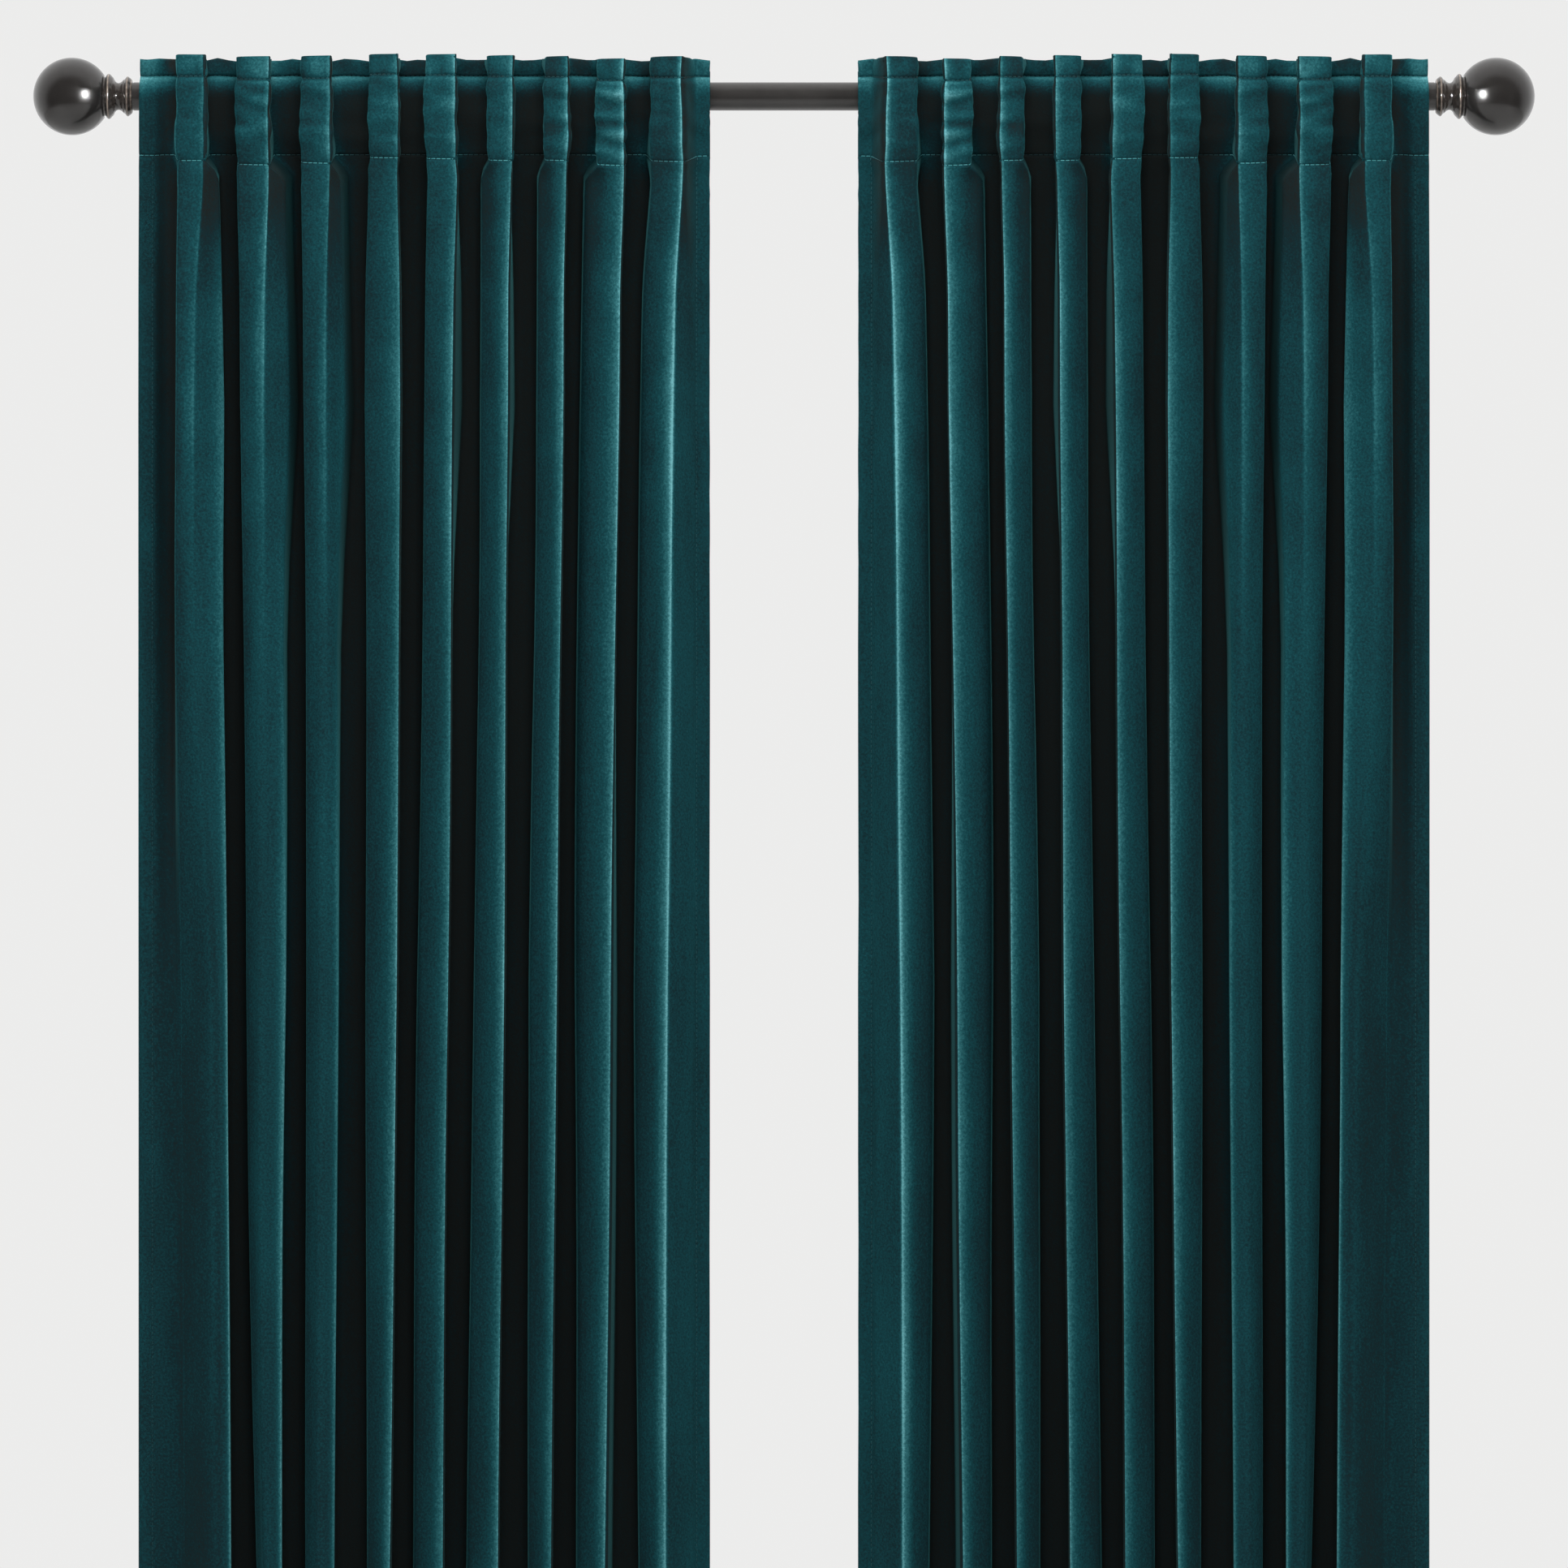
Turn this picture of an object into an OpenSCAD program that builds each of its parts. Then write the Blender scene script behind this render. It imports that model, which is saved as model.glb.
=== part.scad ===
// A pair of back-tab velvet curtain panels on a telescoping rod with ball finials.
// The rod lies in two open wall brackets and is held down by a thumb screw in each.
// X runs along the rod, Z is up and the room is on the -Y side.
// The origin is on the wall plane, midway between the panels, level with the rod's axis.
// Each panel is a row of upright folds, so that it can be drawn along the rod.

/* [Rod] */
// Outside diameter of the outer tube
rod_d = 25.4; // [25:0.1:26]
// Wall thickness of the outer tube
outer_wall = 1.2; // [1.1:0.1:1.3]
// Outside diameter of the inner tube
inner_d = 22.2; // [22:0.1:22.4]
// Wall thickness of the inner tube
inner_wall = 1; // [0.8:0.1:1.2]
// Length of the outer tube
outer_len = 711; // [690:1:720]
// Distance from one rod end to the other
rod_span = 1172; // [1172:1:1180]
// Distance from the wall to the rod's axis
projection = 90; // [80:1:110]

/* [Finials] */
// Diameter of the ball
ball_d = 69.8; // [66:0.2:74]
// Wall thickness of the hollow ball
ball_wall = 1.6; // [1.2:0.1:2]
// Diameter of the threaded stud
stud_d = 7.9; // [7.8:0.1:8]
// Depth of the stud in the rod end
stud_grip = 14; // [12:1:16]

/* [Brackets] */
// Distance from the centre line to each bracket
bracket_x = 542; // [541:0.5:543]
// Width of the wall plate
plate_w = 24; // [22:1:28]
// Distance between the two wall screw holes
hole_spacing = 50; // [46:1:56]
// Diameter of the wall screw holes
hole_d = 5.2; // [4.5:0.1:6]
// Thickness of the wall plate
plate_t = 3; // [2:0.5:4]
// Diameter of the arm
arm_d = 10; // [9:0.5:11]
// Diameter of the clamp screw
clamp_d = 5; // [4:0.5:5]

/* [Curtain panels] */
// Finished length of a panel
panel_len = 2134; // [1600:1:2438]
// Width that a panel spans on the rod
panel_spread = 515; // [513:1:515]
// Distance from the centre line to a panel's outer edge
panel_outer_x = 581.5; // [581:0.5:582]
// Height of the header's top edge above the rod's axis
header_top = 38; // [36:1:42]
// Width of one fold's front
fold_w = 24; // [22:0.5:24]
// Depth of one fold, front to back
fold_depth = 43; // [36:1:48]
// How far the leading edge can be pushed back from where it hangs
open_travel = 170; // [0:5:170]
// Thickness of the velvet
cloth = 2; // [1.5:0.1:2]
// Width of a back tab
tab_w = 24; // [20:0.5:24]
// Thickness of a back tab
tab_t = 1.5; // [1:0.1:1.6]
// Depth of the pocket's bottom seam below the rod's axis
pocket_depth = 58; // [54:1:64]

/* [Hidden] */
$fn = 96;
SIDES = ["left", "right"];
FOLDS = 9;
TABS = FOLDS + 1;
// Where each fold's centre falls across the panel, from its outer edge (0) to its leading edge (1)
fold_share = [0.085, 0.195, 0.306, 0.426, 0.525, 0.628, 0.727, 0.822, 0.923];

rod_r = rod_d / 2;
end_x = rod_span / 2;
gap = 0.3;
bore_gap = 0.05;

// The finial's stations along the rod, as distances from the centre line
neck_x = end_x + 1.5;
ball_seat_x = end_x + 27.4;
ball_seat_r = 20;
ball_x = ball_seat_x + sqrt(pow(ball_d / 2, 2) - pow(ball_seat_r, 2));
ball_boss_len = 18;

cradle_r = rod_r + gap;
cradle_t = 3;
cradle_w = 10;
boss_r = 6.5;
boss_top = -cradle_r - cradle_t;
boss_bottom = boss_top - 13;
arm_z = (boss_top + boss_bottom) / 2;
knob_r = 8;
knob_h = 7;
knob_flutes = 12;
clamp_travel = 6;
// The right bracket sits higher on the wall, because it holds the thinner inner tube
function bracket_rise(side) = side == "right" ? rod_r - inner_d / 2 : 0;

tab_r = rod_r + gap;
strip_back = tab_r + 1.5;
strip_front = strip_back + cloth;
fold_back = strip_front + 1;
hem_z = header_top - panel_len;
recess_drop = 5;

function fold_x(k) = panel_outer_x - panel_spread * fold_share[k - 1];
// Share of the leading edge's travel that a fold follows
function follow(k) = pow(fold_share[k - 1], 2) * (3 - 2 * fold_share[k - 1]);
// The flat strip beside a fold reaches the next fold, unless it would catch it as the panel opens
function strip_w(k) =
    let (pitch = fold_x(k) - fold_x(k + 1))
    let (closing = open_travel * (follow(k + 1) - follow(k)))
    min(pitch - fold_w, pitch - closing - cloth - 2 * gap);
// A back tab sits in the recess behind each gap between two folds, and at each edge of the panel
function tab_x(k) =
    k == 1 ? panel_outer_x - tab_w / 2 - 3.5 :
    k == TABS ? panel_outer_x - panel_spread + tab_w / 2 :
    (fold_x(k - 1) + fold_x(k)) / 2;

// Points of an arc about the rod's axis, in the plane across the rod
function arc(r, from, to, steps) =
    [for (i = [0:steps]) let (a = from + (to - from) * i / steps) [r * cos(a), r * sin(a)]];

// Places things that are drawn on the +X side, in line with the rod's axis
module on_side(side) {
    mirror([side == "left" ? 1 : 0, 0, 0])
        translate([0, -projection, 0])
            children();
}

// Places the pieces of a bracket at its distance from the centre line
module at_bracket(side) {
    on_side(side)
        translate([bracket_x, 0, bracket_rise(side)])
            children();
}

// A bar of round section along X, from one distance to another
module bar(r, from, to) {
    translate([from, 0, 0])
        rotate([0, 90, 0])
            cylinder(r = r, h = to - from);
}

// A turned solid about the rod's axis. Its outline gives [distance along X, radius].
module turned(outline) {
    rotate([0, 90, 0])
        rotate_extrude()
            polygon([for (p = outline) [p[1], p[0]]]);
}

module rod_outer_tube() {
    color("#3b3937")
        translate([0, -projection, 0])
            difference() {
                bar(rod_r, -end_x, -end_x + outer_len);
                bar(rod_r - outer_wall, -end_x - 1, -end_x + outer_len + 1);
            }
}

module rod_inner_tube() {
    color("#45423f")
        on_side("right")
            difference() {
                bar(inner_d / 2, end_x - 1 - outer_len, end_x - 1);
                bar(inner_d / 2 - inner_wall, end_x - 2 - outer_len, end_x);
            }
}

// Plastic sleeve that centres the inner tube in the outer one
module rod_glide_bush() {
    bush_len = 25;
    bush_x = end_x + 5 - outer_len;
    color("#1d1d1d")
        on_side("right")
            difference() {
                bar(rod_r - outer_wall - bore_gap, bush_x, bush_x + bush_len);
                bar(inner_d / 2 + 0.02, bush_x - 1, bush_x + bush_len + 1);
            }
}

// Threaded insert with a thin rim, pressed into the end of the outer tube
module left_end_plug() {
    color("#2b2927")
        on_side("left")
            difference() {
                union() {
                    bar(rod_r - outer_wall - 0.02, end_x - 18, end_x + 0.5);
                    bar(rod_r - 0.3, end_x, end_x + 1.2);
                }
                bar(stud_d / 2 + 0.1, end_x - 19, end_x + 2);
            }
}

// Cap over the end of the inner tube, as thick as the outer tube, with a threaded boss inside
module right_end_cap() {
    cap_len = 14;
    color("#3b3937")
        on_side("right")
            difference() {
                union() {
                    difference() {
                        bar(rod_r, end_x - cap_len, end_x);
                        bar(inner_d / 2 + 0.02, end_x - cap_len - 1, end_x - 1);
                    }
                    bar(rod_r - 0.3, end_x - 0.5, end_x + 1.2);
                    bar(stud_d / 2 + 3.5, end_x - 18, end_x - 0.5);
                }
                bar(stud_d / 2 + 0.1, end_x - 19, end_x + 2);
            }
}

// Hollow ball with a flat seat for the neck and a threaded boss inside, turned about the rod's axis
module finial_ball(side) {
    bore_r = stud_d / 2 + bore_gap;
    color("#292725")
        on_side(side)
            translate([ball_seat_x, 0, 0])
                rotate([0, 90, 0])
                    rotate_extrude()
                        difference() {
                            union() {
                                difference() {
                                    translate([0, ball_x - ball_seat_x])
                                        circle(d = ball_d);
                                    translate([0, ball_x - ball_seat_x])
                                        circle(d = ball_d - 2 * ball_wall);
                                }
                                square([bore_r + 3, ball_boss_len]);
                                square([ball_seat_r - 0.5, 3]);
                            }
                            translate([-ball_d, -ball_d])
                                square([2 * ball_d, ball_d]);
                            translate([-ball_d, -1])
                                square([ball_d, 2 * ball_d]);
                            translate([-1, -1])
                                square([bore_r + 1, ball_boss_len + 2]);
                        }
}

// Turned neck: a small ring at the rod, a waist, a large ring and a collar under the ball
module finial_neck(side) {
    color("#33302d")
        on_side(side)
            difference() {
                turned([
                    [neck_x, 0],
                    [neck_x, 14.8],
                    [end_x + 3, 15.7],
                    [end_x + 5.2, 18],
                    [end_x + 6.8, 17.3],
                    [end_x + 8.4, 15.5],
                    [end_x + 10, 14.8],
                    [end_x + 12, 12.6],
                    [end_x + 13.6, 12.2],
                    [end_x + 15.4, 12.6],
                    [end_x + 16.8, 14.2],
                    [end_x + 18, 15.6],
                    [end_x + 18.4, 16.8],
                    [end_x + 22.2, 20.3],
                    [end_x + 23.4, 20.3],
                    [end_x + 25.2, 18.2],
                    [end_x + 25.8, 17.8],
                    [ball_seat_x, 17.8],
                    [ball_seat_x, 0]
                ]);
                bar(stud_d / 2 + bore_gap, neck_x - 1, ball_seat_x + 1);
            }
}

module finial_stud(side) {
    color("#8c8a86")
        on_side(side)
            bar(stud_d / 2, end_x - stud_grip, ball_seat_x + ball_boss_len - 1);
}

// Wall plate with round ends, two screw holes and a socket for the arm
module bracket_plate(side) {
    socket_len = 8;
    color("#2f2d2b")
        at_bracket(side)
            translate([0, projection, arm_z])
                rotate([90, 0, 0])
                    difference() {
                        union() {
                            for (end = [-1, 1])
                                translate([0, end * hole_spacing / 2, 0])
                                    cylinder(d = plate_w, h = plate_t);
                            translate([-plate_w / 2, -hole_spacing / 2, 0])
                                cube([plate_w, hole_spacing, plate_t]);
                            cylinder(d = arm_d + 7, h = plate_t + socket_len);
                        }
                        for (end = [-1, 1])
                            translate([0, end * hole_spacing / 2, -1])
                                cylinder(d = hole_d, h = plate_t + 2);
                        translate([0, 0, plate_t])
                            cylinder(d = arm_d + 0.04, h = socket_len + 1);
                    }
}

// Round arm that carries an upright boss, threaded for the clamp screw
module bracket_arm(side) {
    color("#2f2d2b")
        at_bracket(side)
            difference() {
                union() {
                    translate([0, projection - plate_t, arm_z])
                        rotate([90, 0, 0])
                            cylinder(d = arm_d, h = projection - plate_t);
                    translate([0, 0, boss_bottom])
                        cylinder(r = boss_r, h = boss_top - boss_bottom + cradle_t);
                }
                bar(cradle_r + cradle_t, -2 * boss_r, 2 * boss_r);
                translate([0, 0, boss_bottom - 1])
                    cylinder(d = clamp_d + 2 * bore_gap, h = boss_top - boss_bottom + cradle_t + 2);
            }
}

// Open cup, half a ring with straight lips, that the rod drops into from above
module bracket_cradle(side) {
    lip = 4;
    color("#2f2d2b")
        at_bracket(side)
            difference() {
                union() {
                    bar(cradle_r + cradle_t, -cradle_w / 2, cradle_w / 2);
                    translate([-cradle_w / 2, -cradle_r - cradle_t, 0])
                        cube([cradle_w, 2 * (cradle_r + cradle_t), lip]);
                }
                bar(cradle_r, -cradle_w, cradle_w);
                translate([-cradle_w, -cradle_r, 0])
                    cube([2 * cradle_w, 2 * cradle_r, 2 * rod_r]);
                translate([-cradle_w, -2 * rod_r, lip])
                    cube([2 * cradle_w, 4 * rod_r, 2 * rod_r]);
                translate([0, 0, -2 * cradle_r])
                    cylinder(d = clamp_d + 2 * bore_gap, h = 2 * cradle_r);
            }
}

// Thumb screw that comes up through the boss and the cradle to hold the rod down
module bracket_clamp_screw(side) {
    knob_top = boss_bottom - clamp_travel - 2;
    color("#8c8a86")
        at_bracket(side)
            union() {
                translate([0, 0, knob_top - 1])
                    cylinder(d = clamp_d, h = -rod_r - gap - knob_top + 1);
                difference() {
                    translate([0, 0, knob_top - knob_h])
                        cylinder(r = knob_r, h = knob_h);
                    for (i = [1:knob_flutes])
                        rotate([0, 0, 360 * i / knob_flutes])
                            translate([knob_r + 0.6, 0, knob_top - knob_h - 1])
                                cylinder(r = 1.5, h = knob_h + 2);
                }
            }
}

// Upright fold: a channel open to the wall, and the flat strip of velvet beside it.
// The strip lies behind the next fold, so that the folds can close up.
module panel_fold(side, k) {
    x = fold_x(k);
    strip_end = k == FOLDS ? panel_outer_x - panel_spread : x - fold_w / 2 - strip_w(k);
    color(k % 2 == 0 ? "#12403f" : "#154a4c")
        on_side(side) {
            translate([0, 0, hem_z])
                linear_extrude(height = panel_len)
                    difference() {
                        translate([x - fold_w / 2, -fold_back - fold_depth])
                            square([fold_w, fold_back + fold_depth - strip_back]);
                        translate([x - fold_w / 2 + cloth, cloth - fold_back - fold_depth])
                            square([fold_w - 2 * cloth, 2 * fold_depth]);
                        translate([x, -fold_back])
                            square([fold_w, fold_depth]);
                    }
            translate([strip_end, -strip_front, hem_z])
                cube([x - fold_w / 2 - strip_end + cloth / 2, cloth, panel_len - recess_drop]);
            if (k == 1)
                translate([x + fold_w / 2 - cloth, -fold_back - cloth, hem_z])
                    cube([panel_outer_x - x - fold_w / 2 + cloth, cloth, panel_len - recess_drop]);
        }
}

// Strap that leaves the back of the header, goes over and behind the rod, and comes
// back to the velvet at the pocket's bottom seam. It is drawn in the plane across the rod.
module back_tab(side, k) {
    seam_y = -strip_back + gap;
    reach = norm([seam_y, pocket_depth]);
    seam_angle = atan2(-pocket_depth, seam_y);
    leave = seam_angle + acos(tab_r / reach);
    strap_run = sqrt(pow(reach, 2) - pow(tab_r, 2));
    lean = tab_t * strap_run / abs(seam_y - tab_r * cos(leave));
    color("#1c5054")
        on_side(side)
            translate([tab_x(k) - tab_w / 2, 0, 0])
                rotate([90, 0, 90])
                    linear_extrude(height = tab_w)
                        polygon(concat(
                            [[seam_y, tab_r]],
                            arc(tab_r, 90, leave, 24),
                            [[seam_y, -pocket_depth]],
                            [[seam_y, -pocket_depth - lean]],
                            arc(tab_r + tab_t, leave, 90, 24),
                            [[seam_y, tab_r + tab_t]]
                        ));
}

rod_outer_tube();
rod_inner_tube();
rod_glide_bush();
left_end_plug();
right_end_cap();
for (side = SIDES) {
    finial_ball(side);
    finial_neck(side);
    finial_stud(side);
    bracket_plate(side);
    bracket_arm(side);
    bracket_cradle(side);
    bracket_clamp_screw(side);
    for (k = [1:FOLDS])
        panel_fold(side, k);
    for (k = [1:TABS])
        back_tab(side, k);
}
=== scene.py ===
import math

import bpy
import numpy as np
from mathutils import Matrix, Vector, noise


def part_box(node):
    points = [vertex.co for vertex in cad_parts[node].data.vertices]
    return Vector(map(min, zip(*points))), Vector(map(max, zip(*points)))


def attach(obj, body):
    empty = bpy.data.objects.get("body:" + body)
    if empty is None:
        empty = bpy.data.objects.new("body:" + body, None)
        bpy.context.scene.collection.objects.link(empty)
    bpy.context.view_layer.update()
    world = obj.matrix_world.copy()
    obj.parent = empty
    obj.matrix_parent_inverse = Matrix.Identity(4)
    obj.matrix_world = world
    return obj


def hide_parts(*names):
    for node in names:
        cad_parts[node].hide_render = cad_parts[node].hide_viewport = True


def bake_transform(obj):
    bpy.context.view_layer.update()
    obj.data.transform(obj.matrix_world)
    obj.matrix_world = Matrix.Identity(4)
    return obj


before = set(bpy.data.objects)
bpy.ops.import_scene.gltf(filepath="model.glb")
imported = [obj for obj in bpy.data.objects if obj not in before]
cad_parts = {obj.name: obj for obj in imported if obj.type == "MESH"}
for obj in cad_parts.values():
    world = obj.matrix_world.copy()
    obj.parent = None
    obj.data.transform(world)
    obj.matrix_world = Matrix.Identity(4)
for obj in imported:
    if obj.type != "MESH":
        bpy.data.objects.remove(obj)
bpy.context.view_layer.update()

# ---------------------------------------------------------------- sizes from the frame
# Everything is in metres. A panel is worked out in "across" coordinates: the distance from the
# window's centre line, so the right panel is the left one's mirror image.

SIDES = {"left": -1.0, "right": 1.0}
FOLDS = 9
TABS = 10
MM = 0.001

rod_low, rod_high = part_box("rod_outer_tube")
ROD_Y = (rod_low.y + rod_high.y) / 2
ROD_R = (rod_high.z - rod_low.z) / 2
# A finial's neck starts on the face of the plug in the rod's end
NECK_START = -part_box("left_end_plug")[0].x

first_low, first_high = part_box("left_panel_fold_1")
OUTER_X = -first_low.x - 1.5 * MM
LEADING_X = -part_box(f"left_panel_fold_{FOLDS}")[1].x
SPREAD = -first_low.x - LEADING_X
HEM_Z = first_low.z
FRONT_Y = first_low.y

# The velvet's own sizes
TOP_Z = first_high.z - 3.5 * MM
CLOTH_T = 1.3 * MM
SIDE_HEM = 12.7 * MM
BOTTOM_HEM = 76 * MM
HEADER_SEAM_Z = 18.5 * MM
POCKET_SEAM_Z = -54 * MM
FRONT_SAG = 2.0 * MM
WRAP_R = ROD_R + 2.9 * MM
RECESS_Y = ROD_Y - WRAP_R
DEPTH = RECESS_Y - FRONT_Y - 1.2 * MM

# How open the pile is on the cloth turned to the back, and on the tabs
BACK_TONE = 0.36
TAB_TONE = 0.40

# Where each fold stands, as its share of the way from the outer edge to the leading edge. This and
# every table of the folds goes from the outermost fold to the innermost.
FOLD_SHARES = (0.085, 0.195, 0.306, 0.426, 0.525, 0.628, 0.727, 0.822, 0.923)
# The fronts lean a little towards the window's middle
FRONT_LEAN = 0.993


def fold_place(k):
    """Where fold k stands, in across coordinates."""
    return FRONT_LEAN * (-first_low.x - FOLD_SHARES[k] * SPREAD)


# ---------------------------------------------------------------- materials


def new_material(name):
    material = bpy.data.materials.new(name)
    material.use_nodes = True
    tree = material.node_tree
    return material, tree, tree.nodes["Principled BSDF"]


def node(tree, kind, **values):
    made = tree.nodes.new(kind)
    for key, value in values.items():
        setattr(made, key, value)
    return made


def set_inputs(made, **values):
    for key, value in values.items():
        made.inputs[key.replace("_", " ")].default_value = value


def noise_node(tree, place, scale, detail, roughness=0.5, stretch=None):
    """A noise texture over the object, squeezed along its axes by stretch."""
    made = node(tree, "ShaderNodeTexNoise")
    set_inputs(made, Scale=scale, Detail=detail, Roughness=roughness)
    if stretch is None:
        tree.links.new(place.outputs["Object"], made.inputs["Vector"])
    else:
        mapping = node(tree, "ShaderNodeMapping")
        mapping.inputs["Scale"].default_value = stretch
        tree.links.new(place.outputs["Object"], mapping.inputs["Vector"])
        tree.links.new(mapping.outputs["Vector"], made.inputs["Vector"])
    return made


def ramp_node(tree, stops):
    made = node(tree, "ShaderNodeValToRGB")
    elements = made.color_ramp.elements
    while len(elements) < len(stops):
        elements.new(0.5)
    for element, (position, colour) in zip(elements, stops):
        element.position = position
        element.color = (*colour, 1)
    return made


def add_up(tree, start, *terms):
    """start + the sum of factor * socket over the terms, as one socket."""
    total = start
    for socket, factor in terms:
        step = node(tree, "ShaderNodeMath", operation="MULTIPLY_ADD")
        tree.links.new(socket, step.inputs[0])
        step.inputs[1].default_value = factor
        if isinstance(total, float):
            step.inputs[2].default_value = total
        else:
            tree.links.new(total, step.inputs[2])
        total = step.outputs["Value"]
    return total


# Velvet goes from near black, painted shade in the deep folds and recesses, to pale teal, painted
# highlights along creases and edges. The piece's tone attribute holds this painted light and shade, plus
# random pile variation.
VELVET_STOPS = (
    (0.00, (0.0098, 0.0122, 0.0118)),
    (0.22, (0.0055, 0.0180, 0.0215)),
    (0.45, (0.0060, 0.0430, 0.0510)),
    (0.70, (0.0220, 0.1030, 0.1150)),
    (1.00, (0.1050, 0.2900, 0.3150)),
)


def velvet_material():
    material, tree, shader = new_material("velvet")
    link = tree.links.new
    place = node(tree, "ShaderNodeTexCoord")
    pile = noise_node(tree, place, 480.0, 3.0, 0.7)
    brushed = noise_node(tree, place, 30.0, 5.0, 0.6, (1.0, 1.0, 0.22))
    pile_and_painted_light = node(tree, "ShaderNodeAttribute", attribute_name="pile_and_painted_light")
    # painted light and shade from the tone attribute, with random pile noise on top
    painted_light_and_pile_noise = add_up(
        tree, -0.40, (pile_and_painted_light.outputs["Fac"], 1.0), (pile.outputs["Fac"], 0.62), (brushed.outputs["Fac"], 0.18)
    )
    ramp = ramp_node(tree, VELVET_STOPS)
    link(painted_light_and_pile_noise, ramp.inputs["Fac"])
    link(ramp.outputs["Color"], shader.inputs["Base Color"])
    bump = node(tree, "ShaderNodeBump")
    set_inputs(bump, Strength=0.3, Distance=0.0006)
    link(pile.outputs["Fac"], bump.inputs["Height"])
    link(bump.outputs["Normal"], shader.inputs["Normal"])
    set_inputs(shader, Roughness=0.9)
    shader.inputs["Specular IOR Level"].default_value = 0.02
    shader.inputs["Sheen Weight"].default_value = 0.11
    shader.inputs["Sheen Roughness"].default_value = 0.3
    shader.inputs["Sheen Tint"].default_value = (0.16, 0.74, 0.78, 1)
    return material


def velvet_back_material():
    """The velvet's reverse: a flat woven ground, a little duller than the pile."""
    material, tree, shader = new_material("velvet_reverse")
    link = tree.links.new
    place = node(tree, "ShaderNodeTexCoord")
    warp = node(tree, "ShaderNodeTexWave", bands_direction="X")
    weft = node(tree, "ShaderNodeTexWave", bands_direction="Z")
    for threads in (warp, weft):
        set_inputs(threads, Scale=420.0, Distortion=0.6)
        link(place.outputs["Object"], threads.inputs["Vector"])
    slub = noise_node(tree, place, 60.0, 5.0, 0.6, (1.0, 1.0, 0.3))
    height = add_up(tree, 0.0, (warp.outputs["Fac"], 0.5), (weft.outputs["Fac"], 0.5))
    shade = add_up(tree, 0.1, (height, 0.4), (slub.outputs["Fac"], 0.6))
    ramp = ramp_node(tree, ((0.25, (0.007, 0.033, 0.038)), (0.85, (0.014, 0.062, 0.069))))
    link(shade, ramp.inputs["Fac"])
    link(ramp.outputs["Color"], shader.inputs["Base Color"])
    bump = node(tree, "ShaderNodeBump")
    set_inputs(bump, Strength=0.35, Distance=0.0004)
    link(height, bump.inputs["Height"])
    link(bump.outputs["Normal"], shader.inputs["Normal"])
    set_inputs(shader, Roughness=0.85)
    shader.inputs["Specular IOR Level"].default_value = 0.15
    return material


def bronze_material(name, base, rub, roughness):
    """Oil-rubbed bronze: dark, satin, with coppery metal showing where "wear" says it is rubbed."""
    material, tree, shader = new_material(name)
    link = tree.links.new
    place = node(tree, "ShaderNodeTexCoord")
    cloud = noise_node(tree, place, 45.0, 6.0, 0.6)
    ramp = ramp_node(tree, ((0.35, base), (0.8, tuple(1.6 * c for c in base))))
    link(cloud.outputs["Fac"], ramp.inputs["Fac"])
    worn = node(tree, "ShaderNodeAttribute", attribute_name="wear")
    patches = noise_node(tree, place, 260.0, 3.0)
    wear = node(tree, "ShaderNodeMath", operation="MULTIPLY", use_clamp=True)
    link(worn.outputs["Fac"], wear.inputs[0])
    link(add_up(tree, -0.2, (patches.outputs["Fac"], 1.9)), wear.inputs[1])
    mix = node(tree, "ShaderNodeMix", data_type="RGBA")
    link(wear.outputs["Value"], mix.inputs["Factor"])
    link(ramp.outputs["Color"], mix.inputs["A"])
    mix.inputs["B"].default_value = (*rub, 1)
    link(mix.outputs["Result"], shader.inputs["Base Color"])
    link(add_up(tree, roughness - 0.06, (cloud.outputs["Fac"], 0.12)), shader.inputs["Roughness"])
    bump = node(tree, "ShaderNodeBump")
    set_inputs(bump, Strength=0.06, Distance=0.0004)
    link(patches.outputs["Fac"], bump.inputs["Height"])
    link(bump.outputs["Normal"], shader.inputs["Normal"])
    shader.inputs["Metallic"].default_value = 0.15
    shader.inputs["IOR"].default_value = 1.6
    shader.inputs["Coat Weight"].default_value = 0.2
    shader.inputs["Coat Roughness"].default_value = 0.12
    return material


def plain_material(name, low, high, roughness, metallic, scale):
    """Nearly even finish: a fine mottle between two close colours, with a matching bump."""
    material, tree, shader = new_material(name)
    link = tree.links.new
    place = node(tree, "ShaderNodeTexCoord")
    grain = noise_node(tree, place, scale, 5.0)
    ramp = ramp_node(tree, ((0.3, low), (0.7, high)))
    link(grain.outputs["Fac"], ramp.inputs["Fac"])
    link(ramp.outputs["Color"], shader.inputs["Base Color"])
    bump = node(tree, "ShaderNodeBump")
    set_inputs(bump, Strength=0.15, Distance=0.0003)
    link(grain.outputs["Fac"], bump.inputs["Height"])
    link(bump.outputs["Normal"], shader.inputs["Normal"])
    set_inputs(shader, Roughness=roughness, Metallic=metallic)
    return material


def thread_material(name, shaded, lit):
    """Sewing thread with the cloth's painted light and shade: dark where the cloth is painted as shade,
    light where it is painted lit.
    """
    material, tree, shader = new_material(name)
    pile_and_painted_light = node(tree, "ShaderNodeAttribute", attribute_name="pile_and_painted_light")
    ramp = ramp_node(tree, ((0.02, shaded), (0.34, lit)))
    tree.links.new(pile_and_painted_light.outputs["Fac"], ramp.inputs["Fac"])
    tree.links.new(ramp.outputs["Color"], shader.inputs["Base Color"])
    set_inputs(shader, Roughness=0.6)
    return material


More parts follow.
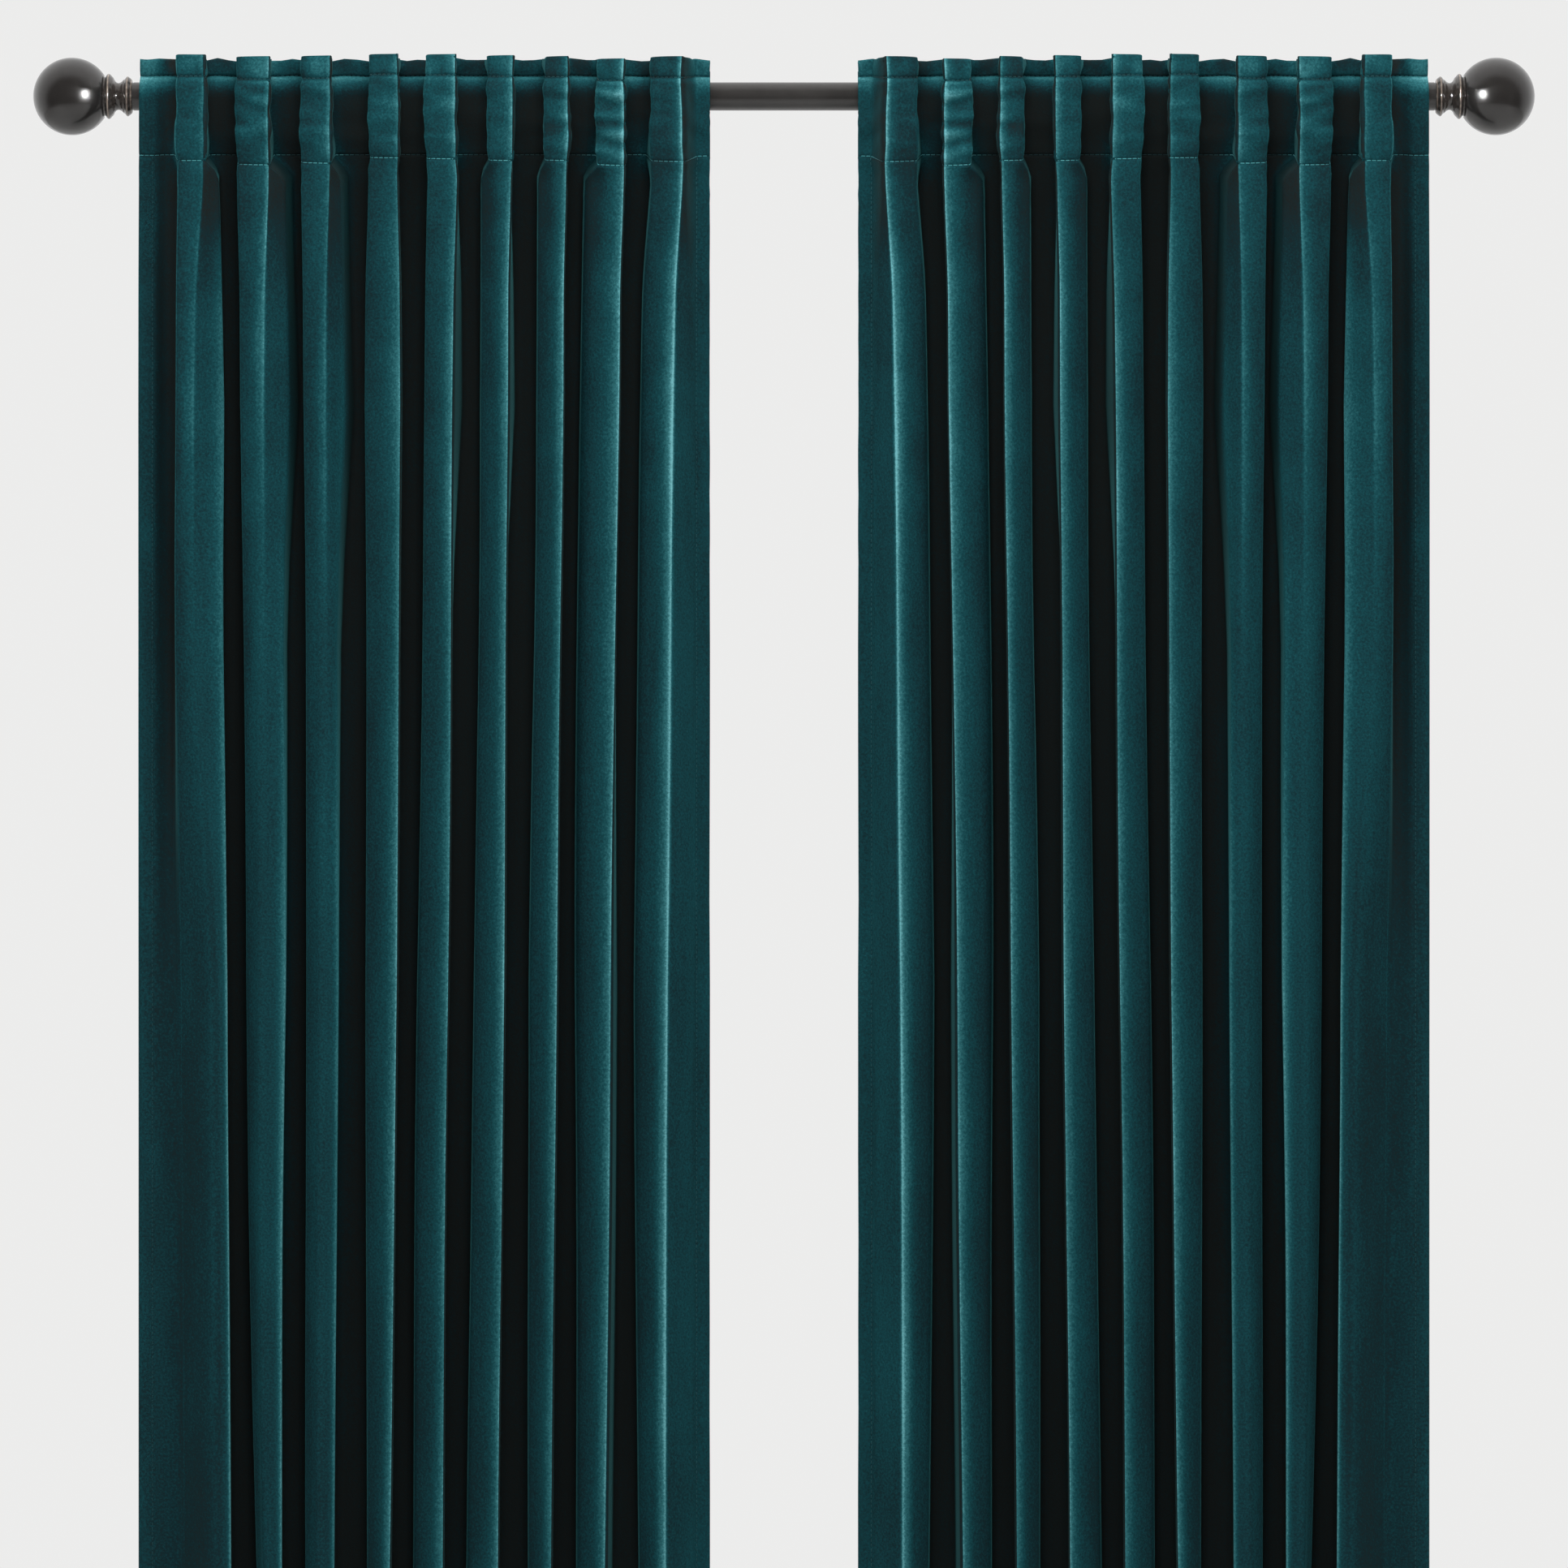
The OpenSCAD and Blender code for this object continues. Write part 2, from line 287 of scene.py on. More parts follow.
VELVET = velvet_material()
VELVET_BACK = velvet_back_material()
THREAD = thread_material("thread", (0.006, 0.030, 0.034), (0.045, 0.22, 0.24))
DARK_THREAD = thread_material("dark_thread", (0.003, 0.014, 0.016), (0.008, 0.05, 0.057))
FINIAL_BRONZE = bronze_material("finial_bronze", (0.0125, 0.0112, 0.0105), (0.30, 0.235, 0.19), 0.22)
ROD_BRONZE = bronze_material("rod_bronze", (0.019, 0.0175, 0.0165), (0.3, 0.2, 0.15), 0.34)
STEEL = plain_material("plated_steel", (0.30, 0.29, 0.27), (0.45, 0.44, 0.42), 0.35, 1.0, 300.0)
NYLON = plain_material("black_nylon", (0.012, 0.012, 0.012), (0.02, 0.02, 0.02), 0.5, 0.0, 400.0)
FLOOR = plain_material("floor_paint", (0.46, 0.46, 0.455), (0.48, 0.48, 0.475), 0.8, 0.0, 6.0)


# ---------------------------------------------------------------- mesh helpers


def mesh_object(name, vertices, faces, materials, attributes=None, material_index=None, smooth=True):
    mesh = bpy.data.meshes.new(name)
    mesh.from_pydata([tuple(v) for v in vertices], [], [tuple(f) for f in faces])
    for material in materials:
        mesh.materials.append(material)
    for key, values in (attributes or {}).items():
        layer = mesh.attributes.new(key, "FLOAT", "POINT")
        layer.data.foreach_set("value", np.asarray(values, np.float32))
    mesh.polygons.foreach_set("use_smooth", [smooth] * len(mesh.polygons))
    if material_index is not None:
        mesh.polygons.foreach_set("material_index", np.asarray(material_index, np.int32))
    mesh.update()
    made = bpy.data.objects.new(name, mesh)
    bpy.context.scene.collection.objects.link(made)
    return made


def grid_normals(grid):
    """Unit normals of a (rows, columns, 3) grid of points, towards the room."""
    down = np.gradient(grid, axis=0)
    along = np.gradient(grid, axis=1)
    normal = np.cross(along, down)
    return normal / np.maximum(np.linalg.norm(normal, axis=2, keepdims=True), 1e-12)


def closed_sheet(front, back):
    """Vertices, faces and the number of front faces of a closed sheet between two equal grids."""
    rows, columns = front.shape[:2]
    count = rows * columns
    index = np.arange(count).reshape(rows, columns)
    corners = [index[:-1, :-1], index[:-1, 1:], index[1:, 1:], index[1:, :-1]]
    quad = np.stack(corners, axis=-1).reshape(-1, 4)
    rim = np.concatenate([index[0, :], index[1:, -1], index[-1, -2::-1], index[-2:0:-1, 0]])
    following = np.roll(rim, -1)
    edge = np.stack([rim, rim + count, following + count, following], axis=-1)
    vertices = np.concatenate([front.reshape(-1, 3), back.reshape(-1, 3)])
    return vertices, np.concatenate([quad, quad[:, ::-1] + count, edge]), len(quad)


def mirrored(vertices, faces, sign):
    """Turns across coordinates into real ones; the side where that mirrors has its faces turned over."""
    placed = np.array(vertices, float)
    placed[:, 0] *= sign
    return placed, faces if sign > 0 else [face[::-1] for face in faces]


def run_lengths(points):
    """How far along its line each point is, for one or more lines of points."""
    steps = np.linalg.norm(np.diff(points, axis=-2), axis=-1)
    return np.concatenate([np.zeros((*steps.shape[:-1], 1)), np.cumsum(steps, axis=-1)], axis=-1)


def smooth_step(x):
    x = np.clip(x, 0, 1)
    return x * x * (3 - 2 * x)


def bell(distance, width):
    return np.exp(-((distance / width) ** 2))


def wave(x, seed, scale):
    """Smooth noise along a line, about -1 to 1."""
    return 1.6 * noise.noise(Vector((x / scale, 7.31 * seed, 1.7 * seed)))


# ---------------------------------------------------------------- the panel's shape
# At each of these heights a fold's outline is (outer shoulder, crease, inner shoulder) in mm from
# the fold's place, outwards positive, then how far forward the outer and inner shoulders reach,
# as shares of the full depth.

LEVELS_Z = (POCKET_SEAM_Z, -0.28, -0.46, -0.79, -1.30)
FOLD_OUTLINES = (
    (
        (8.5, -14, -17, 1.0, 1.0), (11, -4.5, -30.7, 0.95, 0.60), (12, -4.5, -30.9, 0.90, 0.98),
        (6, -27.5, -36.4, 0.34, 1.0), (4, -30.5, -39.6, 0.30, 1.0),
    ),
    (
        (11.5, -17, -18, 0.92, 1.0), (8, -12.5, -34.5, 0.80, 0.60), (6, -12.5, -28.5, 0.76, 0.88),
        (3.5, -13, -31.9, 0.66, 1.0), (-5, -17, -28.1, 0.62, 1.0),
    ),
    (
        (10.5, -15, -16, 0.92, 1.0), (9, -10.5, -26, 0.80, 0.62), (7.5, -10, -19.5, 0.76, 0.88),
        (6.5, -10, -22.3, 0.70, 1.0), (7, -8, -18.8, 0.66, 1.0),
    ),
    (
        (11, -13.5, -14.5, 0.92, 1.0), (15, -16.5, -17.5, 0.66, 0.97), (13.3, -15.6, -16.6, 0.64, 1.0),
        (14.5, -14, -15, 0.62, 1.0), (14, -7, -8, 0.62, 1.0),
    ),
    (
        (10.5, -15.5, -16.5, 0.92, 1.0), (12.5, -12, -13, 0.72, 1.0), (13.5, -11.3, -12.3, 0.66, 1.0),
        (18, -9.5, -10.5, 0.60, 1.0), (22, -4.5, -5.5, 0.60, 1.0),
    ),
    (
        (8, -12.5, -13.5, 0.92, 1.0), (16, -8.5, -9.5, 0.55, 1.0), (16.6, -6.6, -7.6, 0.56, 1.0),
        (21, -6, -7, 0.58, 1.0), (26, -2, -3, 0.58, 1.0),
    ),
    (
        (8, -11.5, -12.5, 0.92, 1.0), (16, -8, -9, 0.55, 1.0), (16.6, -5.5, -6.5, 0.56, 1.0),
        (22, -2.5, -3.5, 0.58, 1.0), (22.5, 2, 1, 0.60, 1.0),
    ),
    (
        (9, -14, -15, 0.92, 1.0), (25, -9.5, -10.5, 0.45, 1.0), (27.2, -6.5, -7.6, 0.48, 1.0),
        (28.5, -2.5, -4, 0.52, 1.0), (28.5, 3.5, 1.5, 0.56, 1.0),
    ),
    (
        (13, -14, -16, 0.88, 1.0), (22, -6, -22, 0.50, 0.5), (24, -4.2, -22, 0.51, 0.51),
        (28, -1, -22, 0.52, 0.52), (24, 1, -22, 0.55, 0.52),
    ),
)
# How far the wall behind the inner shoulder slants, in mm, at the same heights. The innermost fold
# has no such wall.
WALL_SLANTS = (
    (-3, -3, -4, -4, -4), (-3, 8, 2, -3, -3), (-3, 9, 3, -3, -3), (-4, -3, -4, -4, -3),
    (-4, 7, -3, -4, -4), (-4, 4, -4, -4, -4), (-4, -2, -4, -4, -4), (-3, -3, -3, 3.5, 4),
)
# The painted highlight along each crease, at the same heights
PAINTED_CREASE_HIGHLIGHTS = (
    (0.50, 0.54, 0.37, 0.26, 0.26), (0.72, 0.68, 0.38, 0.33, 0.31), (0.68, 0.64, 0.38, 0.33, 0.31),
    (0.62, 0.76, 0.72, 0.84, 0.76), (0.72, 0.82, 0.74, 0.76, 0.72), (0.72, 0.88, 0.80, 0.84, 0.78),
    (0.72, 0.86, 0.80, 0.78, 0.70), (0.86, 0.94, 0.86, 0.80, 0.82), (0.94, 0.98, 0.97, 0.96, 0.96),
)
# An inner shoulder further than this from its crease, in mm, makes a facet with an edge of its own
FACET_WIDTH = 8
# Painted light on such a facet, at the same heights, and the painted light at its edge, by fold, below the
# pocket
FACET_TONES = (0.36, 0.36, 0.36, 0.33, 0.31)
FACET_EDGE_TONES = {
    0: (0.70, 0.62, 0.84, 0.84),
    1: (0.37, 0.46, 0.78, 0.82),
    2: (0.42, 0.44, 0.68, 0.76),
    8: (0.34, 0.36, 0.36, 0.36),
}
# Painted light over the fronts: by fold in the pocket, then at the heights below it, with the outer sides
# painted darker as shade
FRONT_TONES = (0.33, 0.31, 0.34, 0.33, 0.38, 0.35, 0.34, 0.39, 0.28)
LOWER_FRONT_TONES = (0.36, 0.35, 0.34, 0.32)
LOWER_OUTER_TONES = (0.28, 0.28, 0.26, 0.24)
# How much of a crease's painted highlight is painted on the front beside it, at the same heights
PAINTED_HIGHLIGHT_SPREADS = (0.22, 0.38, 0.30, 0.38, 0.38)
# Painted light in the recess beside a fold's inner edge, by fold and height; elsewhere the recess is
# painted black as shade
PAINTED_RECESS_LIGHT = {
    (1, 0): 0.26, (2, 0): 0.22, (4, 0): 0.06, (5, 0): 0.08, (7, 0): 0.10, (1, 3): 0.26, (2, 3): 0.26,
}
# From this height down the outermost fold has one broad, dim outer side: the painted shade on that side
BROAD_LEVEL = 3
BROAD_TONES = {3: 0.23, 4: 0.20}
# The painted highlight along each fold's outer shoulder
PAINTED_SHOULDER_HIGHLIGHTS = (0.34, 0.16, 0.16, 0.14, 0.16, 0.15, 0.15, 0.15, 0.14)
# How far each front hangs below its neighbouring recesses at the pocket seam, against FRONT_SAG
FRONT_SAGS = (0.85, 1.25, 1.1, 0.6, 0.7, 0.85, 0.85, 1.3, 0.95)
# How much lower than the highest front each front's top edge is, in mm
TOP_DROPS = (0.2, 0.9, 0.7, 0.0, 0.0, 0.9, 1.6, 3.0, 1.5)
# How crinkled each front is where the pocket passes over the rod
CRINKLES = (0.4, 1.1, 0.6, 1.0, 0.9, 0.5, 1.1, 1.8, 0.6)
# How far the cloth splays out at the pocket seam, outside and inside each fold, in mm
FLARES = ((3.5, 3), (0, 4), (0, 4), (0, 0), (0, 2), (0, 0), (0, 0), (2, 0), (4, 0))
# The outer edge strip: (distance from the edge in mm, depth share) at the same heights
EDGE_STRIP = (
    ((0, 0.06), (14, 0.10), (24, 0.00)),
    ((0, 0.24), (14, 0.27), (23, 0.06)),
    ((0, 0.22), (14, 0.25), (24, 0.08)),
    ((0, 0.20), (14, 0.23), (24, 0.20)),
    ((0, 0.20), (14, 0.22), (24, 0.22)),
)
# Depth shares of the leading hem's inner line and of the leading edge, at the same heights
LEADING_SHARES = ((0.25, 0.20), (0.34, 0.27), (0.35, 0.28), (0.36, 0.29), (0.36, 0.29))

# Columns of the grid between one corner of the outline and the next, and where they crowd together:
# above 1 towards the start, below 1 towards the end
STRIP_COLUMNS = ((4, 1.0), (4, 1.0), (4, 1.0))
WALL_COLUMNS = (7, 0.6)
FOLD_COLUMNS = ((9, 1.5), (6, 1.0), (5, 1.0), (3, 1.0), (8, 0.5), (7, 1.6), (3, 1.0))
LEADING_COLUMNS = (7, 1.0)

# A fold's corners, from the foot of its outer wall to the foot of its inner one
CORNERS = 8
OUTER_FOOT, OUTER, FRONT, NEAR_CREASE, CREASE, PAST_CREASE, INNER, INNER_FOOT = range(CORNERS)


def corner(k, part):
    """The number of a corner of fold k in the whole outline, which starts with the edge strip."""
    return len(STRIP_COLUMNS) + CORNERS * k + part


def fold_points(k, level):
    """One fold's corners at one level, as rows of (across, depth share, tone)."""
    outer, crease, inner, outer_share, inner_share = FOLD_OUTLINES[k][level]
    out_x, crease_x, in_x = (fold_place(k) + mm * MM for mm in (outer, crease, inner))
    slant = WALL_SLANTS[k][level] if k < FOLDS - 1 else 0
    bright, highlight_spread = PAINTED_CREASE_HIGHLIGHTS[k][level], PAINTED_HIGHLIGHT_SPREADS[level]
    outer_tone = (FRONT_TONES[k] - 0.06, *LOWER_OUTER_TONES)[level]
    front_tone = (FRONT_TONES[k], *LOWER_FRONT_TONES)[level]
    # The crease gets a painted highlight, spread onto the front beside it; the outer side is painted darker
    # and each wall's foot painted black, as shade
    beside_tone = (1 - highlight_spread) * front_tone + highlight_spread * bright
    foot = (out_x + 1.5 * MM, 0.0, 0.0)
    if k == 0 and level >= BROAD_LEVEL:
        foot = (out_x + 6 * MM, 0.235, 0.24)
        outer_tone = front_tone = BROAD_TONES[level]
    past_share = 1.0
    # A wide facet keeps its own painted light; otherwise the wall behind the inner shoulder is painted dark
    # as shade
    if abs(crease - inner) > FACET_WIDTH:
        past_tone, inner_tone = FACET_TONES[level], FACET_EDGE_TONES[k][level - 1]
        past_share = 0.97 if level == 1 else 1.0
    elif slant > 0:
        past_tone, inner_tone = 0.22, 0.11
    else:
        past_tone = inner_tone = 0.04
    points = [
        foot,
        (out_x, outer_share, outer_tone),
        (0.5 * (out_x + crease_x), 0.32 * outer_share + 0.68, front_tone),
        (crease_x + 5 * MM, 0.985, beside_tone),
        (crease_x, 1.0, bright),
        (crease_x + max((in_x - crease_x) * 0.5, -3.0 * MM), past_share, past_tone),
        (in_x, inner_share, inner_tone),
    ]
    if k < FOLDS - 1:
        points.append((in_x - slant * MM, 0.0, PAINTED_RECESS_LIGHT.get((k, level), 0.0)))
    return points


def level_points(level):
    """The outline's corners at one level, as rows of (across, depth share, tone)."""
    # The valley between the edge strip and the first fold is painted dark as shade
    strip_tones = (0.34, 0.27, 0.13 if level < BROAD_LEVEL else 0.24)
    points = [(OUTER_X - mm * MM, share, pile_and_painted_light) for (mm, share), pile_and_painted_light in zip(EDGE_STRIP[level], strip_tones)]
    for k in range(FOLDS):
        points += fold_points(k, level)
    hem_share, edge_share = LEADING_SHARES[level]
    return np.array([*points, (LEADING_X + SIDE_HEM, hem_share, 0.34), (LEADING_X, edge_share, 0.36)])


def column_plan():
    """For each column, the corner it follows and its share of the way to the next one."""
    plan = list(STRIP_COLUMNS)
    for k in range(FOLDS):
        plan += [WALL_COLUMNS, *(FOLD_COLUMNS if k < FOLDS - 1 else FOLD_COLUMNS[:5])]
    plan += [LEADING_COLUMNS, LEADING_COLUMNS]
    segment, part = [], []
    for number, (count, crowd) in enumerate(plan):
        t = np.arange(count) / count
        eased = t**crowd if crowd >= 1 else 1 - (1 - t) ** (1 / crowd)
        segment += [number] * count
        part += list(eased)
    segment.append(len(plan) - 1)
    part.append(1.0)
    return np.array(segment), np.array(part)


SEGMENT, PART = column_plan()
COLUMNS = len(SEGMENT)
# The columns of the folds' outer shoulders
SHOULDERS = np.array([int(np.flatnonzero(SEGMENT == corner(k, OUTER))[0]) for k in range(FOLDS)])
# How sharply the tone rises along each column's segment: sharpest up to an inner shoulder
RISE = np.where((SEGMENT - corner(0, 0)) % CORNERS == PAST_CREASE, 3.2, 1.7)
# How sharply it falls, where it falls
FALL = 2.2
# The fold each column belongs to
FOLD_OF = np.clip((SEGMENT - corner(0, 0)) // CORNERS, 0, FOLDS - 1)


def row_heights():
    """Row heights of the panel's grid, close together at the seams and the hem."""
    seam = 3 * MM
    hem_top = HEM_Z + BOTTOM_HEM
    # The top of each band of rows, and how many rows it has
    bands = (
        (TOP_Z, 6), (HEADER_SEAM_Z + seam, 8), (HEADER_SEAM_Z - seam, 26), (POCKET_SEAM_Z + seam, 8),
        (POCKET_SEAM_Z - seam, 8), (-0.12, 15), (-0.42, 21), (hem_top + seam, 6), (hem_top - seam, 5),
    )
    ends = [top for top, _ in bands[1:]] + [HEM_Z]
    rows = [np.linspace(top, end, count, endpoint=False) for (top, count), end in zip(bands, ends)]
    return np.concatenate([*rows, [HEM_Z]])


HEIGHTS = row_heights()
ROWS = len(HEIGHTS)
LEVEL_POINTS = [level_points(level) for level in range(len(LEVELS_Z))]
# How far past the last level its trend is followed
LAST_TREND = 1.35
# The corners that stand wide of the pocket straight from its seam: the inner sides of the three
# outermost folds, and the outer sides of the sixth to the eighth, which start there in shade
INNER_WIDE = [corner(k, part) for k in (0, 1, 2) for part in (INNER, INNER_FOOT)]
OUTER_WIDE = [corner(k, part) for k in (5, 6, 7) for part in (OUTER_FOOT, OUTER)]


def outline_at(z):
    """The outline's corners at height z, between the levels on either side of it."""
    drop = (LEVELS_Z[0] - z) / (LEVELS_Z[0] - LEVELS_Z[1])
    if drop <= 1:
        drop = max(drop, 0.0)
        opened = np.full(LEVEL_POINTS[0].shape, 0.60 * smooth_step(drop / 0.60) + 0.40 * drop)
        opened[INNER_WIDE + OUTER_WIDE, :2] = 0.72 * smooth_step(drop / 0.08) + 0.28 * drop
        points = LEVEL_POINTS[0] * (1 - opened) + LEVEL_POINTS[1] * opened
        # painted shade on those outer sides just under the pocket seam
        points[OUTER_WIDE, 2] *= 1 - 0.55 * smooth_step(drop / 0.03) * (1 - smooth_step(drop / 0.90))
        return points
    level = len(LEVELS_Z) - 2
    while level > 1 and z > LEVELS_Z[level]:
        level -= 1
    t = min((LEVELS_Z[level] - z) / (LEVELS_Z[level] - LEVELS_Z[level + 1]), LAST_TREND)
    return LEVEL_POINTS[level] * (1 - t) + LEVEL_POINTS[level + 1] * t


def in_pocket(z):
    """1 in the pocket and above it, falling to 0 within 20 mm under its seam."""
    return smooth_step((z - POCKET_SEAM_Z + 0.02) / 0.02)


def pocket_flare(z):
    """How much the cloth splays out at height z, by being gathered at the pocket seam."""
    over_seam = z - POCKET_SEAM_Z
    return smooth_step(1 - over_seam / 0.040) if over_seam > 0 else smooth_step(1 + over_seam / 0.025)


def loosen(points, z):
    """Moves the outline's corners from their drawn places, as cloth does: changes points."""
    above, flare = in_pocket(z), pocket_flare(z)
    for k in range(FOLDS):
        whole = slice(corner(k, OUTER_FOOT), min(corner(k + 1, OUTER_FOOT), corner(FOLDS - 1, INNER_FOOT)))
        sway = 1.2 * above * wave(z, k + 1, 0.045) + 1.5 * wave(z, k + 20, 0.5) * (1 - above)
        points[whole, 0] += sway * MM
        pinch = 0.8 * above * wave(z, k + 40, 0.032) * MM
        points[corner(k, OUTER_FOOT) : corner(k, FRONT), 0] += pinch
        points[corner(k, CREASE) : corner(k, INNER_FOOT), 0] -= pinch
        # the crease's painted highlight varies a little along it
        points[corner(k, CREASE), 2] *= 1 + 0.10 * wave(z, k + 80, 0.11)
        # where the cloth splays out at the seam it gets a painted highlight
        outside, inside = FLARES[k]
        for part, mm, pile_and_painted_light in ((OUTER_FOOT, outside, 0.36), (INNER_FOOT, -inside, 0.34)):
            if mm:
                at = corner(k, part)
                points[at, 0] += mm * flare * MM
                points[at, 2] = max(points[at, 2], pile_and_painted_light * flare)


# The spacing of the points that an outline is rounded off with
FINE = 3 * MM / 4


def rounded_off(line, sigma):
    """A line of evenly spaced points with its corners rounded; sigma is in steps of the line."""
    reach = int(4 * sigma) + 1
    kernel = bell(np.arange(-reach, reach + 1), sigma * math.sqrt(2))
    kernel /= kernel.sum()
    before = 2 * line[:, :1] - line[:, reach:0:-1]
    after = 2 * line[:, -1:] - line[:, -2 : -reach - 2 : -1]
    padded = np.concatenate([before, line, after], axis=1)
    return [np.convolve(part, kernel, mode="valid") for part in padded]


def section(z):
    """Across, depth share and tone of every column at height z."""
    points = outline_at(z)
    loosen(points, z)
    x, d = points[:, 0], points[:, 1] * DEPTH
    length = np.concatenate([[0], np.cumsum(np.hypot(np.diff(x), np.diff(d)))])
    at = np.arange(0, length[-1] + FINE, FINE)
    line = np.stack([np.interp(at, length, x), np.interp(at, length, d)])
    # The folds are sharpest in the pocket and softest at the hem
    radius = (1.1 + 0.5 * (1 - in_pocket(z)) + 0.5 * np.clip(-z - 0.3, 0, 1)) * MM
    line_x, line_d = rounded_off(line, radius / FINE)
    where = length[SEGMENT] + PART * (length[SEGMENT + 1] - length[SEGMENT])
    across = np.interp(where, at, line_x)
    share = np.interp(where, at, line_d) / DEPTH
    start, end = points[SEGMENT, 2], points[SEGMENT + 1, 2]
    falling = np.where(start > end + 0.05, 1 - (1 - PART) ** FALL, PART)
    eased = np.where(end > start + 0.05, PART**RISE, falling)
    return across, share, start + (end - start) * eased


def recess_lean(z):
    """How far back of the rod's front the recesses stand: they wrap its upper front."""
    wrap = WRAP_R - np.sqrt(np.maximum(WRAP_R**2 - np.clip(z, 0, 0.93 * WRAP_R) ** 2, 0))
    above = np.interp(z, [0.93 * WRAP_R, HEADER_SEAM_Z, TOP_Z], [0, 3.2 * MM, 4.2 * MM])
    return wrap + above - 1.5 * MM * smooth_step(-z / 0.04) + np.interp(-z, [0.05, 1.5], [0, 4 * MM])


def near_top(z):
    """0 a little under the header seam, 1 at the panel's top edge."""
    return smooth_step((z - HEADER_SEAM_Z + 10 * MM) / (TOP_Z - HEADER_SEAM_Z + 10 * MM))


def smooth_panel():
    """The panel before it puckers: its grid in across coordinates, its tone and how far forward it is."""
    across, share, pile_and_painted_light = (np.array(part) for part in zip(*[section(z) for z in HEIGHTS]))
    z0 = HEIGHTS[:, None] * np.ones_like(across)
    forward = np.clip(share, 0, 1)
    sag = np.interp(-HEIGHTS, [-TOP_Z, -HEADER_SEAM_Z, -POCKET_SEAM_Z, 0.3], [1, 3.2, 5, 0]) * FRONT_SAG
    window = np.ones(11) / 11
    blurred = np.stack([np.convolve(np.pad(row, 5, mode="edge"), window, mode="valid") for row in forward])
    crown = np.interp(-HEIGHTS, [-TOP_Z, -HEADER_SEAM_Z, 0], [3.2 * MM, 1.0 * MM, 0])[:, None]
    z = z0 - forward * sag[:, None] * np.array(FRONT_SAGS)[FOLD_OF] - crown * forward * (1 - blurred)
    z -= near_top(z0) * forward * np.array(TOP_DROPS)[FOLD_OF] * MM
    lean = recess_lean(HEIGHTS)[:, None]
    front_lean = np.interp(-HEIGHTS, [-TOP_Z, -HEADER_SEAM_Z, -8 * MM, 0.06], [3.4 * MM, 1.2 * MM, 0, 0])
    y = RECESS_Y + lean * (1 - forward) + front_lean[:, None] * forward - share * DEPTH
    return np.stack([across, y, z], axis=-1), pile_and_painted_light, forward


def noise_field(along, across_rate, down_rate, seed, skew=0.0):
    """Smooth noise over the panel's rows and columns, sheared by skew."""

    def value(u, height):
        return noise.noise(Vector((u * across_rate, height * down_rate + u * skew, seed)))

    return np.array([[value(u, height) for u in along] for height in HEIGHTS])


# How wide the cloth is pulled in along a seam and along a hem's stitching
SEAM_WIDTH = 1.3 * MM
HEM_WIDTH = 1.6 * MM


def seam_puff(z0, along, forward, pocket, header):
    """How far the cloth is filled out between its seams and pulled in along them."""
    puff = 1.2 * MM * pocket * forward + 0.5 * MM * header
    puff -= 0.9 * MM * (bell(z0 - HEADER_SEAM_Z, SEAM_WIDTH) + bell(z0 - POCKET_SEAM_Z, SEAM_WIDTH))
    for distance in (along - SIDE_HEM, along[:, -1:] - along - SIDE_HEM):
        puff -= 0.5 * MM * bell(distance, HEM_WIDTH)
    return puff - 0.5 * MM * bell(z0 - HEM_Z - BOTTOM_HEM, HEM_WIDTH)


def buckles(along, forward):
    """Long soft buckles down the whole panel, and short ones in the pocket and just under it."""
    near = smooth_step((HEIGHTS - POCKET_SEAM_Z + 0.05) / 0.05)
    out = np.empty_like(along)
    for j, height in enumerate(HEIGHTS):
        for i, u in enumerate(along[j]):
            out[j, i] = 0.6 * noise.noise(Vector((u * 14, height * 2.2, 3.1)))
            if near[j] > 0:
                out[j, i] += near[j] * 1.7 * noise.noise(Vector((u * 24, height * 62, 9.7)))
    on_rod = bell(HEIGHTS, 22 * MM)[:, None] * (1 - forward)
    return out * MM * (1 - 0.85 * on_rod)


